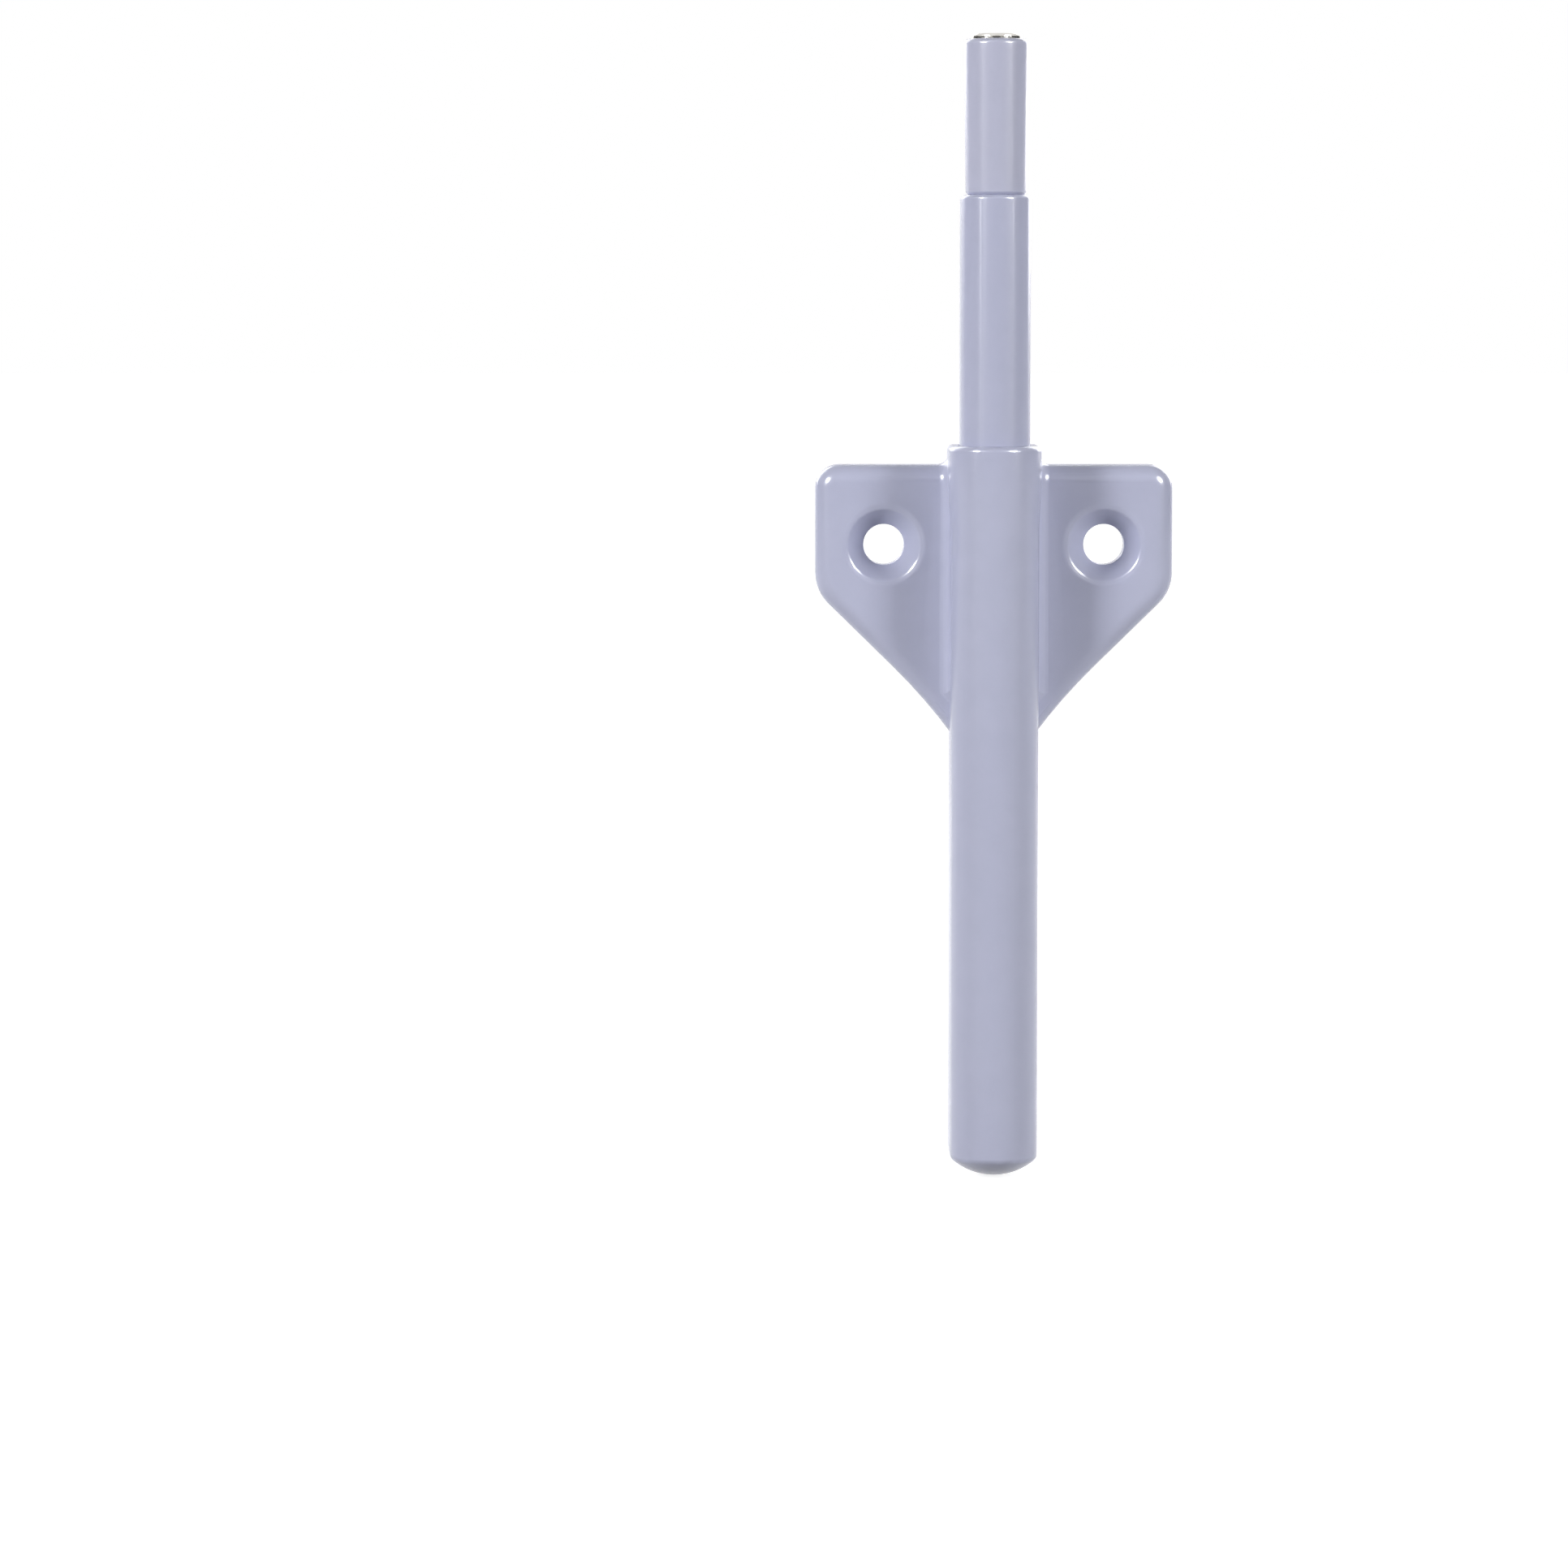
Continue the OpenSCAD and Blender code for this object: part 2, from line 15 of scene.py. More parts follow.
import bmesh
import bpy
import numpy as np
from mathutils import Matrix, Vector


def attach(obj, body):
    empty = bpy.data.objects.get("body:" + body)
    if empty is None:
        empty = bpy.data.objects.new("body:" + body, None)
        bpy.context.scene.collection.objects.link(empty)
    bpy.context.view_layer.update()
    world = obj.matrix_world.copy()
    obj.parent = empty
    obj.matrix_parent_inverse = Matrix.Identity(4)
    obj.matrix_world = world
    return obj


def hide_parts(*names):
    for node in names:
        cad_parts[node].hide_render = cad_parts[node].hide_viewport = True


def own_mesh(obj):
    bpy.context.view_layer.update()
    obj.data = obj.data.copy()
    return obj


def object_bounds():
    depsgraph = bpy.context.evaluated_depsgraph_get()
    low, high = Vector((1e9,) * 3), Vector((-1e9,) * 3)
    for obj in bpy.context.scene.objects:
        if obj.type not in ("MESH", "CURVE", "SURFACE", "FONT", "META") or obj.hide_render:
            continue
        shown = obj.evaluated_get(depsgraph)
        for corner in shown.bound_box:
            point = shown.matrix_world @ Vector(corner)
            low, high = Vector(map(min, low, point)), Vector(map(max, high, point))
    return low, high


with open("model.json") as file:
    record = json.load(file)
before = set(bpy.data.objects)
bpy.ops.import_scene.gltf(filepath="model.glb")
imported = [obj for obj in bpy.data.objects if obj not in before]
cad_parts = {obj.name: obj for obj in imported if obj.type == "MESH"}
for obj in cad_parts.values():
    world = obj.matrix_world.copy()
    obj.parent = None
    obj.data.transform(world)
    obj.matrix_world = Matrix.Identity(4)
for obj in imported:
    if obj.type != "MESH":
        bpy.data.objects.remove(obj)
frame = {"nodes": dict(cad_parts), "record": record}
cad_low, cad_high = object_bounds()
MM = 0.001
print("solids:", sorted(frame["nodes"]))
print("size in mm:", [round((b - a) / MM, 2) for a, b in zip(cad_low, cad_high)])

# %% [markdown]
# ## Camera
#
# The damper is seen from the front and very slightly from above, and the tube looks straight and
# both wings look alike. A camera without any perspective would do that too, but a real one far
# away with a long lens also shows the tail a little from above and the head a little from below.
# The object doesn't fill the picture: the aim point lies left of it and below the screw holes,
# and the frame is wide enough to leave room all round.

# %% Camera
SENSOR = 36.0
VIEW_HEIGHT = math.radians(4.75)
DISTANCE = 0.7
FRAME_WIDTH = 180.8 * MM
AIM = np.array([-24.2, -6.0, -27.5]) * MM


def linked(name, data):
    """A new object that shows the data, linked to the scene."""
    thing = bpy.data.objects.new(name, data)
    bpy.context.scene.collection.objects.link(thing)
    return thing


camera_data = bpy.data.cameras.new("camera")
camera_data.sensor_width = SENSOR
camera_data.lens = SENSOR * DISTANCE / FRAME_WIDTH
camera_data.clip_start, camera_data.clip_end = 0.05, 20.0
camera = linked("camera", camera_data)
camera.location = AIM + DISTANCE * np.array([0, -math.cos(VIEW_HEIGHT), math.sin(VIEW_HEIGHT)])
camera.rotation_euler = (math.pi / 2 - VIEW_HEIGHT, 0, 0)
bpy.context.scene.camera = camera
print("lens in mm:", round(camera_data.lens, 1))

# %% [markdown]
# ## Patterns shared by the materials
#
# A mould with a spark-eroded wall leaves fine grain on plastic, and the melt leaves faint clouds
# in its colour. Drawn or rolled steel has long fine scratches instead. All of that could be
# painted into pictures, but noise textures have no seams and can be made finer by one number.
# Each pattern is a node group, built once and placed in every material that needs it:
# `moulded_grain` for the plastics and `drawn_lines` for the metals. A group puts out only masks
# and heights; the shader itself stays in each material.

# %% Helpers for node groups
def new_group(name, inputs, outputs):
    """An empty shader group. inputs and outputs are (name, socket kind, default value)."""
    group = bpy.data.node_groups.new(name, "ShaderNodeTree")
    for label, kind, default in inputs:
        socket = group.interface.new_socket(name=label, in_out="INPUT", socket_type=kind)
        if default is not None:
            socket.default_value = default
    for label, kind in outputs:
        group.interface.new_socket(name=label, in_out="OUTPUT", socket_type=kind)
    return group, group.nodes.new("NodeGroupInput"), group.nodes.new("NodeGroupOutput")


def noise(tree, vector, scale, detail, roughness=0.5):
    """A noise texture that reads the given vector, with its scale as a number or a socket."""
    node = tree.nodes.new("ShaderNodeTexNoise")
    node.inputs["Detail"].default_value = detail
    node.inputs["Roughness"].default_value = roughness
    tree.links.new(vector, node.inputs["Vector"])
    if isinstance(scale, (int, float)):
        node.inputs["Scale"].default_value = scale
    else:
        tree.links.new(scale, node.inputs["Scale"])
    return node.outputs["Fac"]


# %% The grain of moulded plastic
FLOW_STRETCH = (1.0, 1.0, 0.09)


def make_moulded_grain():
    """Grain is fine noise; clouds are coarse noise; flow is noise drawn out along the tube."""
    group, given, out = new_group(
        "moulded_grain",
        [("Vector", "NodeSocketVector", None), ("Grain Scale", "NodeSocketFloat", 4200.0),
         ("Cloud Scale", "NodeSocketFloat", 260.0)],
        [("Grain", "NodeSocketFloat"), ("Clouds", "NodeSocketFloat"),
         ("Flow", "NodeSocketFloat")])
    vector = given.outputs["Vector"]
    grain = noise(group, vector, given.outputs["Grain Scale"], 2.0)
    clouds = noise(group, vector, given.outputs["Cloud Scale"], 5.0, 0.6)
    mapping = group.nodes.new("ShaderNodeMapping")
    mapping.inputs["Scale"].default_value = FLOW_STRETCH
    group.links.new(vector, mapping.inputs["Vector"])
    flow = noise(group, mapping.outputs["Vector"], 900.0, 3.0)
    group.links.new(grain, out.inputs["Grain"])
    group.links.new(clouds, out.inputs["Clouds"])
    group.links.new(flow, out.inputs["Flow"])
    return group


moulded_grain = make_moulded_grain()
print("nodes in moulded_grain:", len(moulded_grain.nodes))


# %% The lines of drawn steel
def make_drawn_lines():
    """Noise squeezed across one direction, so that it turns into long fine scratches."""
    group, given, out = new_group(
        "drawn_lines",
        [("Vector", "NodeSocketVector", None), ("Stretch", "NodeSocketVector", (1, 1, 1)),
         ("Scale", "NodeSocketFloat", 2000.0)],
        [("Lines", "NodeSocketFloat"), ("Stain", "NodeSocketFloat")])
    scaled = group.nodes.new("ShaderNodeVectorMath")
    scaled.operation = "MULTIPLY"
    group.links.new(given.outputs["Vector"], scaled.inputs[0])
    group.links.new(given.outputs["Stretch"], scaled.inputs[1])
    lines = noise(group, scaled.outputs["Vector"], given.outputs["Scale"], 3.0, 0.6)
    stain = noise(group, given.outputs["Vector"], 700.0, 4.0, 0.6)
    group.links.new(lines, out.inputs["Lines"])
    group.links.new(stain, out.inputs["Stain"])
    return group


drawn_lines = make_drawn_lines()
print("nodes in drawn_lines:", len(drawn_lines.nodes))

# %% [markdown]
# ## The plastics
#
# Casing and slider are one pale lilac grey plastic with a soft gloss; the head is a slightly
# greyer one. One even colour with one even gloss would be the simplest way, but it looks like a
# computer's plastic: in a real moulding the clouds shift the colour by a few per cent, the flow
# marks change the gloss along the tube, and the grain breaks up the highlights. So each value
# runs between two close ones that the pattern chooses from. All of it is kept faint, because
# this plastic looks clean and even from arm's length.

# %% Helpers for materials
def spread(tree, value, low, high, to_low, to_high):
    """Maps a value from the range low..high to to_low..to_high and clamps it."""
    node = tree.nodes.new("ShaderNodeMapRange")
    for label, number in (("From Min", low), ("From Max", high),
                          ("To Min", to_low), ("To Max", to_high)):
        node.inputs[label].default_value = number
    tree.links.new(value, node.inputs["Value"])
    return node.outputs["Result"]


def mixed(tree, share, first, second):
    """Mixes two colours of four numbers by the share of the second."""
    node = tree.nodes.new("ShaderNodeMix")
    node.data_type = "RGBA"
    tree.links.new(share, node.inputs["Factor"])
    for label, colour in (("A", first), ("B", second)):
        socket = [s for s in node.inputs if s.name == label and s.type == "RGBA"][0]
        socket.default_value = colour
    return [s for s in node.outputs if s.type == "RGBA"][0]


def shader(name):
    """A material with its node tree and its Principled shader."""
    material = bpy.data.materials.new(name)
    material.use_nodes = True
    tree = material.node_tree
    return material, tree, tree.nodes["Principled BSDF"]


def object_vector(tree):
    """Object coordinates, which stay with the piece when it moves."""
    return tree.nodes.new("ShaderNodeTexCoord").outputs["Object"]


def bump(tree, height, distance, strength):
    """A normal that is tilted as if the surface rose and fell with the height."""
    node = tree.nodes.new("ShaderNodeBump")
    node.inputs["Distance"].default_value = distance
    node.inputs["Strength"].default_value = strength
    tree.links.new(height, node.inputs["Height"])
    return node.outputs["Normal"]


# %% Plastic materials
GRAIN_DEPTH = 0.02 * MM
PLASTIC_IOR = 1.49


def plastic(name, colour, shade, roughness, grain_strength):
    """Moulded plastic: colour where the clouds are light, shade where they are dark."""
    material, tree, surface = shader(name)
    pattern = tree.nodes.new("ShaderNodeGroup")
    pattern.node_tree = moulded_grain
    tree.links.new(object_vector(tree), pattern.inputs["Vector"])
    clouds = spread(tree, pattern.outputs["Clouds"], 0.3, 0.7, 0.0, 1.0)
    tree.links.new(mixed(tree, clouds, shade, colour), surface.inputs["Base Color"])
    gloss = spread(tree, pattern.outputs["Flow"], 0.3, 0.7, roughness - 0.012, roughness + 0.018)
    tree.links.new(gloss, surface.inputs["Roughness"])
    tree.links.new(bump(tree, pattern.outputs["Grain"], GRAIN_DEPTH, grain_strength),
                   surface.inputs["Normal"])
    surface.inputs["IOR"].default_value = PLASTIC_IOR
    return material


lilac_plastic = plastic("lilac_plastic", (0.462, 0.477, 0.624, 1), (0.444, 0.460, 0.604, 1),
                        0.23, 0.15)
grey_plastic = plastic("grey_plastic", (0.476, 0.485, 0.618, 1), (0.458, 0.468, 0.598, 1),
                       0.25, 0.25)
print("plastics:", lilac_plastic.name, grey_plastic.name)

# %% [markdown]
# ## The metals
#
# The magnet in the tip is plated with bright nickel, slightly scuffed and dull in places. The
# spring and the latch wire are drawn steel, still a little dark and oily from the works. Metal
# has no colour of its own beside its reflections, so two different base colours alone would
# hardly tell them apart. What does is how rough each is and which way its fine scratches run: on
# the wires they follow the wire, through the UV map that each wire brings along.

# %% Metal materials
SCRATCH_DEPTH = 0.01 * MM


def metal(name, bright, dull, roughness, stretch, scale, from_uv=False):
    """Metal with long scratches in its gloss, and stains that darken it in places."""
    material, tree, surface = shader(name)
    if from_uv:
        along_wire = tree.nodes.new("ShaderNodeUVMap")
        along_wire.uv_map = "UVMap"
        vector = along_wire.outputs["UV"]
    else:
        vector = object_vector(tree)
    pattern = tree.nodes.new("ShaderNodeGroup")
    pattern.node_tree = drawn_lines
    pattern.inputs["Stretch"].default_value = stretch
    pattern.inputs["Scale"].default_value = scale
    tree.links.new(vector, pattern.inputs["Vector"])
    stain = spread(tree, pattern.outputs["Stain"], 0.35, 0.65, 0.0, 1.0)
    tree.links.new(mixed(tree, stain, dull, bright), surface.inputs["Base Color"])
    gloss = spread(tree, pattern.outputs["Lines"], 0.3, 0.7, roughness - 0.08, roughness + 0.1)
    tree.links.new(gloss, surface.inputs["Roughness"])
    tree.links.new(bump(tree, pattern.outputs["Lines"], SCRATCH_DEPTH, 0.3),
                   surface.inputs["Normal"])
    surface.inputs["Metallic"].default_value = 1.0
    return material


nickel_plating = metal("nickel_plating", (0.74, 0.72, 0.68, 1), (0.66, 0.64, 0.605, 1), 0.16,
                       (1.0, 1.0, 1.0), 5200.0)
spring_steel = metal("spring_steel", (0.50, 0.49, 0.47, 1), (0.30, 0.29, 0.28, 1), 0.30,
                     (40.0, 1.0, 1.0), 14.0, from_uv=True)
print("metals:", nickel_plating.name, spring_steel.name)

# %% [markdown]
# ## Softened edges
#
# No mould has a perfectly sharp edge, and a thin bright line along each edge is what makes
# plastic look moulded. The edges could be rounded in the shader with a Bevel node, but that
# fools only the light, so a Bevel modifier cuts them for real. It takes the width from a weight
# on each edge: a thin line on every sharp edge, more on the lips of the screw holes and most
# round the domed tail, as on the real moulding. Where the fillet beside the tube runs out, the
# corner is thinner than the rounding, so it gets none. A clear edge that isn't rounded is marked
# sharp, or smooth shading would cast long streaks over the faces beside it.

# %% How far each edge is rounded
WIDEST = 0.40 * MM
THIN_SHARE, LIP_SHARE = 0.25, 0.5
SHARP_ANGLE, LIP_ANGLE = 32, 17
TAIL_RIM = cad_low[2] / MM + 1.99
HOLE_X, LIP_REACH = 12.7, 4.9


def fine_rounding(at, angle):
    """Share of WIDEST for an edge with its middle at the point, which is not used here: a thin
    line on every edge.
    """
    return THIN_SHARE if angle > SHARP_ANGLE else 0.0


def casing_rounding(at, angle):
    """As above, but WIDEST round the tail, LIP_SHARE on the lips of the two screw holes, which
    lie within LIP_REACH of a hole's axis, and none at the lower end of the fillet."""
    x, y, z = abs(at.x) / MM, at.y / MM, at.z / MM
    if abs(z - TAIL_RIM) < 0.05:
        return 1.0
    if y < -4.4 and math.hypot(x - HOLE_X, z) < LIP_REACH:
        return LIP_SHARE if angle > LIP_ANGLE else 0.0
    if y < -4.3 and 5.0 < x < 7.0 and -20.3 < z < -16.4:
        return 0.0
    return fine_rounding(at, angle)


print("roundings in mm:", [round(share * WIDEST / MM, 2) for share in (THIN_SHARE, LIP_SHARE, 1)])

# %% [markdown]
# ## Copies of the solids
#
# Casing, slider and head keep the shape of their solids. A solid arrives as loose triangles,
# which a Bevel modifier can't follow, and the solid itself is never changed. So a copy is welded
# into one skin, its flat faces are joined up again, and the modifier rounds the copy. The copy
# then stands for the solid, which stays hidden in the same place, and moves with its body.

# %% One skin with weighted edges
WELD_DISTANCE = 0.002 * MM
FLAT_ANGLE = math.radians(0.4)
CLEAR_ANGLE = 25


def welded(mesh):
    """The mesh's triangles as one skin: corners that meet are joined, and so are flat faces.
    Stored shading goes first, because it belongs to the loose triangles."""
    for stored in ("custom_normal", "sharp_edge", "sharp_face"):
        if stored in mesh.attributes:
            mesh.attributes.remove(mesh.attributes[stored])
    skin = bmesh.new()
    skin.from_mesh(mesh)
    bmesh.ops.remove_doubles(skin, verts=skin.verts, dist=WELD_DISTANCE)
    bmesh.ops.dissolve_degenerate(skin, edges=skin.edges, dist=WELD_DISTANCE)
    bmesh.ops.dissolve_limit(skin, angle_limit=FLAT_ANGLE, verts=skin.verts, edges=skin.edges)
    return skin


def weigh_edges(skin, rounding):
    """Gives each edge the share that rounding(middle, angle) says, and counts open edges."""
    weight = skin.edges.layers.float.new("bevel_weight_edge")
    open_edges = 0
    for line in skin.edges:
        if line.is_manifold:
            middle = (line.verts[0].co + line.verts[1].co) / 2
            angle = math.degrees(line.calc_face_angle(0))
            line[weight] = rounding(middle, angle)
            line.smooth = line[weight] > 0 or angle < CLEAR_ANGLE
        else:
            open_edges += 1
    return open_edges


# %% Soft-edged copies of the solids
BEVEL_STEPS = 3


def stand_in(piece, body, node):
    """Ties the piece to the body it moves with and hides the solid that it stands for."""
    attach(piece, body)
    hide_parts(node)
    print(piece.name, "faces:", len(piece.data.polygons))


def soft_copy(node, material, rounding):
    """Welded copy of a solid, whose edges are rounded as far as rounding says."""
    mesh = frame["nodes"][node].data.copy()
    mesh.name = node + "_moulding"
    skin = welded(mesh)
    print(node, "open edges:", weigh_edges(skin, rounding))
    skin.to_mesh(mesh)
    skin.free()
    mesh.materials.clear()
    mesh.materials.append(material)
    mesh.shade_smooth()
    piece = linked(mesh.name, mesh)
    bevel = piece.modifiers.new("soft_edges", "BEVEL")
    bevel.width = WIDEST
    bevel.segments = BEVEL_STEPS
    bevel.limit_method = "WEIGHT"
    bevel.use_clamp_overlap = False
    bevel.harden_normals = True
    stand_in(piece, node_body[node], node)


node_body = {node: body for body, nodes in frame["record"]["behaviour"]["bodies"].items()
             for node in nodes}
soft_copy("casing", lilac_plastic, casing_rounding)
soft_copy("slider", lilac_plastic, fine_rounding)
soft_copy("head", grey_plastic, fine_rounding)

# %% [markdown]
# ## The magnet
#
# A plated magnet is a turned shape: a half section, spun round the axis. A cylinder with a bevel
# comes close, but a section of its own also gives the face its dish. Plating is thickest on
# outer edges, so the edge is a generous round, and the face sinks very slightly towards the
# middle from pressing. Fine steps on the round edge matter, because polished metal shows every
# facet in its reflections.

# %% Magnet
MAGNET_AXIS_Y = -7.4 * MM
MAGNET_RADIUS = 2.95 * MM
MAGNET_LOW = 53.3 * MM
MAGNET_TOP = 58.35 * MM
MAGNET_ROUND = 0.34 * MM
MAGNET_DISH = 0.05 * MM


def grid(count, sides):
    """Ring number i and point number k of every quad between `count` rings."""
    return np.meshgrid(np.arange(count - 1), np.arange(sides), indexing="ij")


def ring_faces(count, sides):
    """Faces over `count` rings of `sides` points, where point k of ring i is number
    i * sides + k: a quad joins (i, k), (i, k+1), (i+1, k+1) and (i+1, k), and each end has a
    cap."""
    i, k = grid(count, sides)
    following = (k + 1) % sides
    quads = np.stack([i * sides + k, i * sides + following, (i + 1) * sides + following,
                      (i + 1) * sides + k], axis=-1).reshape(-1, 4)
    caps = [list(range(sides))[::-1], list(range((count - 1) * sides, count * sides))]
    return quads.tolist() + caps


def magnet_section():
    """Half section (radius, height): straight up the side, round the edge along
    (R - r + r cos t, H - r + r sin t), then over the face, which sinks by d (1 - (x / X)^2)
    towards the middle."""
    t = np.linspace(0, np.pi / 2, 10)
    flat = MAGNET_RADIUS - MAGNET_ROUND
    side = np.array([[MAGNET_RADIUS, MAGNET_LOW]])
    edge = np.stack([flat + MAGNET_ROUND * np.cos(t),
                     MAGNET_TOP - MAGNET_ROUND + MAGNET_ROUND * np.sin(t)], axis=1)
    x = np.linspace(flat, 0.02 * flat, 9)[1:]
    face = np.stack([x, MAGNET_TOP - MAGNET_DISH * (1 - (x / flat) ** 2)], axis=1)
    return np.concatenate([side, edge, face])


def turned(section, axis_y, sides):
    """Each point (x, h) of the section becomes a ring of points (x cos v, y + x sin v, h)."""
    v = np.linspace(0, 2 * np.pi, sides, endpoint=False)
    return np.stack([section[:, :1] * np.cos(v), axis_y + section[:, :1] * np.sin(v),
                     np.repeat(section[:, 1:], sides, axis=1)], axis=-1)


# %% Turn the magnet
MAGNET_SIDES = 96

magnet_rings = turned(magnet_section(), MAGNET_AXIS_Y, MAGNET_SIDES)
magnet_mesh = bpy.data.meshes.new("magnet_disc")
magnet_mesh.from_pydata(magnet_rings.reshape(-1, 3).tolist(), [],
                        ring_faces(len(magnet_rings), MAGNET_SIDES))
magnet_mesh.materials.append(nickel_plating)
magnet_mesh.shade_smooth()
stand_in(linked("magnet_disc", magnet_mesh), "slider", "magnet")

# %% [markdown]
# ## A tube along a path
#
# The spring and the latch wire are both round wire that follows a path. A Blender curve with a
# bevel would do it, but it doesn't say how far along the wire each point is, which the fine
# scratches need. So the tube is a grid: one parameter runs along the path, the other round the
# wire. At each point of the path, the tangent and a direction that is never parallel to it give
# two axes across the wire, and a circle is drawn in those axes. The ends are closed by small
# rounded caps.

# %% Tube helpers
CAP_START = 0.08


def run_along(path):
    """Distance along the path of each of its points."""
    return np.concatenate([[0], np.cumsum(np.linalg.norm(np.diff(path, axis=0), axis=1))])


def tube_points(path, radius, toward, sides):
    """Grid of points P + r (n cos v + b sin v): n is the part of `toward` across the path's
    tangent t, b is t x n. Near an end r is the wire's radius times sqrt(1 - (1 - e)^2), where e
    is the distance from the end in radii plus CAP_START, which rounds the end."""
    tangent = np.gradient(path, axis=0)
    tangent /= np.linalg.norm(tangent, axis=1, keepdims=True)
    across = toward - np.sum(toward * tangent, axis=1, keepdims=True) * tangent
    across /= np.linalg.norm(across, axis=1, keepdims=True)
    other = np.cross(tangent, across)
    run = run_along(path)
    end = np.minimum(run, run[-1] - run) / radius
    r = radius * np.sqrt(1 - (1 - np.clip(end + CAP_START, 0, 1)) ** 2)
    v = np.linspace(0, 2 * np.pi, sides, endpoint=False)
    ring = (across[:, None, :] * np.cos(v)[None, :, None]
            + other[:, None, :] * np.sin(v)[None, :, None])
    return path[:, None, :] + r[:, None, None] * ring


def tube_mesh(name, path, radius, toward, sides, material):
    """Mesh of the tube, with a UV map: u is the length along the wire, v the turn round it,
    both in units of the wire's own thickness."""
    mesh = bpy.data.meshes.new(name)
    mesh.from_pydata(tube_points(path, radius, toward, sides).reshape(-1, 3).tolist(), [],
                     ring_faces(len(path), sides))
    i, k = grid(len(path), sides)
    u = run_along(path) / (2 * radius)
    uv_u = np.stack([u[i], u[i], u[i + 1], u[i + 1]], axis=-1).ravel()
    uv_v = np.stack([k, k + 1, k + 1, k], axis=-1).ravel() / sides
    uv = np.zeros((len(mesh.loops), 2))
    uv[:uv_u.size, 0], uv[:uv_u.size, 1] = uv_u, uv_v
    mesh.uv_layers.new(name="UVMap").data.foreach_set("uv", uv.ravel())
    mesh.materials.append(material)
    mesh.shade_smooth()
    mesh.validate()
    return mesh


# %% [markdown]
# ## The return spring
#
# A compression spring has closed coils at both ends and open ones between. A Screw modifier can
# turn a circle into a coil, but with the same rise everywhere. So the path is a helix whose
# height grows slowly at the ends and evenly in the middle. The spring seats in the slider's bore
# and shortens when the slider goes in.

# %% Return spring
SPRING_AXIS_Y = -8.25 * MM
SPRING_FOOT = -70.8 * MM
SPRING_SEAT = 32.0 * MM
SPRING_WIRE = 0.50 * MM
SPRING_MID = 1.95 * MM
SPRING_TURNS = 85
CLOSED_TURNS = 1.5


def spring_path(steps):
    """Helix (R cos a, R sin a, h(a)): h climbs one wire thickness a turn in the closed coils
    and evenly over what is left between them."""
    turn = np.linspace(0, SPRING_TURNS, SPRING_TURNS * steps + 1)
    close = SPRING_WIRE * 1.04
    low, high = SPRING_FOOT + SPRING_WIRE / 2, SPRING_SEAT - SPRING_WIRE / 2
    height = np.interp(turn, [0, CLOSED_TURNS, SPRING_TURNS - CLOSED_TURNS, SPRING_TURNS],
                       [low, low + CLOSED_TURNS * close, high - CLOSED_TURNS * close, high])
    angle = 2 * np.pi * turn
    return np.stack([SPRING_MID * np.cos(angle), SPRING_AXIS_Y + SPRING_MID * np.sin(angle),
                     height], axis=1)


spring_mesh = tube_mesh("coiled_spring", spring_path(24), SPRING_WIRE / 2,
                        np.array([0.0, 0.0, 1.0]), 10, spring_steel)
spring = linked("coiled_spring", spring_mesh)
stand_in(spring, "casing", "return_spring")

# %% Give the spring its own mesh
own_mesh(spring)

# %% [markdown]
# ## The latch wire
#
# The wire hooks into the casing's tail, runs up behind the slider and ends in a short bent
# tip. Straight rods end to end would give it corners, but real wire bends in arcs. So each
# corner of its path becomes a smooth curve that starts a little before the corner and ends a
# little after it, and points at even distances keep the tube's rings square to it.

# %% Path of the latch wire
WIRE_THICKNESS = 0.85 * MM
WIRE_BEND = 0.9 * MM
WIRE_STEP = 0.12 * MM
WIRE_CORNERS = np.array([
    [1.3, -4.8, -70.362], [1.3, -2.6, -70.362], [1.3, -2.6, -67.4], [1.3, -3.65, -65.4],
    [1.3, -3.65, -49.5], [0.0, -3.65, -43.0], [0.0, -3.65, -21.7], [0.0, -5.15, -21.7]]) * MM


def rounded_path(corners, bend, steps):
    """Every inner corner C becomes the curve (1-t)^2 A + 2t(1-t) C + t^2 B, where A and B lie
    `bend` before and after it, or about half way to the next corner where that is nearer."""
    before, at, after = corners[:-2], corners[1:-1], corners[2:]
    back, ahead = before - at, after - at
    back_length = np.linalg.norm(back, axis=1, keepdims=True)
    ahead_length = np.linalg.norm(ahead, axis=1, keepdims=True)
    a = at + back / back_length * np.minimum(bend, back_length * 0.48)
    b = at + ahead / ahead_length * np.minimum(bend, ahead_length * 0.48)
    t = np.linspace(0, 1, steps)[None, :, None]
    arcs = (1 - t) ** 2 * a[:, None] + 2 * t * (1 - t) * at[:, None] + t ** 2 * b[:, None]
    return np.concatenate([corners[:1], arcs.reshape(-1, 3), corners[-1:]])


def resampled(path, step):
    """The same path with points at even distances, `step` apart."""
    run = run_along(path)
    wanted = np.linspace(0, run[-1], int(run[-1] / step) + 1)
    return np.stack([np.interp(wanted, run, path[:, axis]) for axis in range(3)], axis=1)


upright_path = resampled(rounded_path(WIRE_CORNERS, WIRE_BEND, 9), WIRE_STEP)
print("length of the wire in mm:", round(run_along(upright_path)[-1] / MM, 1))

# %% Latch wire
WIRE_PIVOT = np.array([1.3, 0.0, -68.0]) * MM
WIRE_TILT = math.radians(2.45)


def tilted(points, pivot, angle):
    """Points turned about the Y axis through the pivot."""
    c, s = math.cos(angle), math.sin(angle)
    turn = np.array([[c, 0, s], [0, 1, 0], [-s, 0, c]])
    return (points - pivot) @ turn.T + pivot


wire_mesh = tube_mesh("bent_wire", tilted(upright_path, WIRE_PIVOT, WIRE_TILT),
                      WIRE_THICKNESS / 2, np.array([1.0, 0.0, 0.0]), 16, spring_steel)
stand_in(linked("bent_wire", wire_mesh), "wire", "latch_wire")

